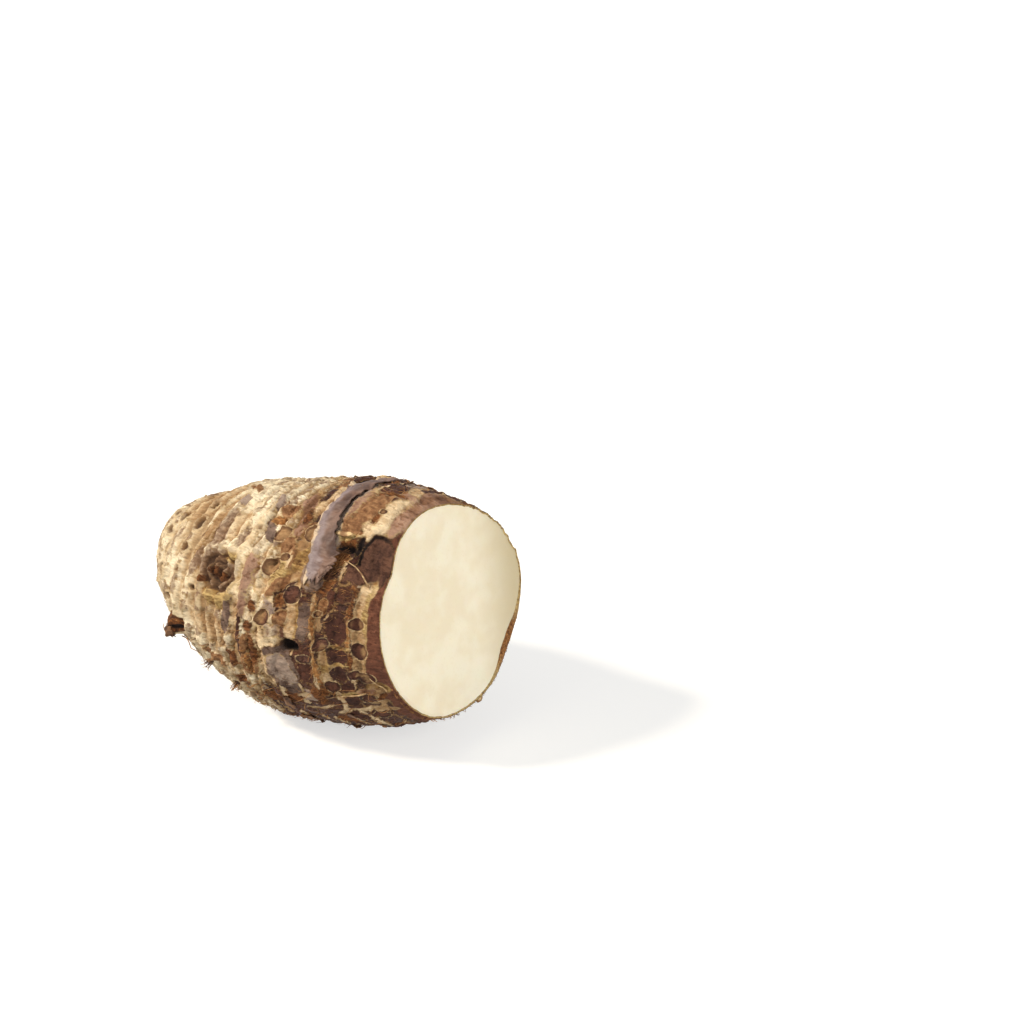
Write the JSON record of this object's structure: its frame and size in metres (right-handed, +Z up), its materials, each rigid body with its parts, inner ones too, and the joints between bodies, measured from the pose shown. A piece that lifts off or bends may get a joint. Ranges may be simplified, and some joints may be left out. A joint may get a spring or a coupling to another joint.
{
  "type": "cut taro corm",
  "caption": "Half of a raw taro corm lying on its side: rough ringed brown bark-like skin with leaf and root scars, a rounded end, and a flat creamy white face where it was cut across.",
  "frame": {"origin": "under the middle of the corm's bounding box, on the surface that it rests on", "axes": "+X along the corm, towards the cut face; -X towards the rounded end; +Y to the far side; +Z up"},
  "size_m": [0.1502, 0.0968, 0.099],
  "materials": {
    "skin": "dry, rough, bark-like",
    "flesh": "moist, satin"
  },
  "bodies": {
    "root": {"corm": "skin"}
  },
  "joints": []
}
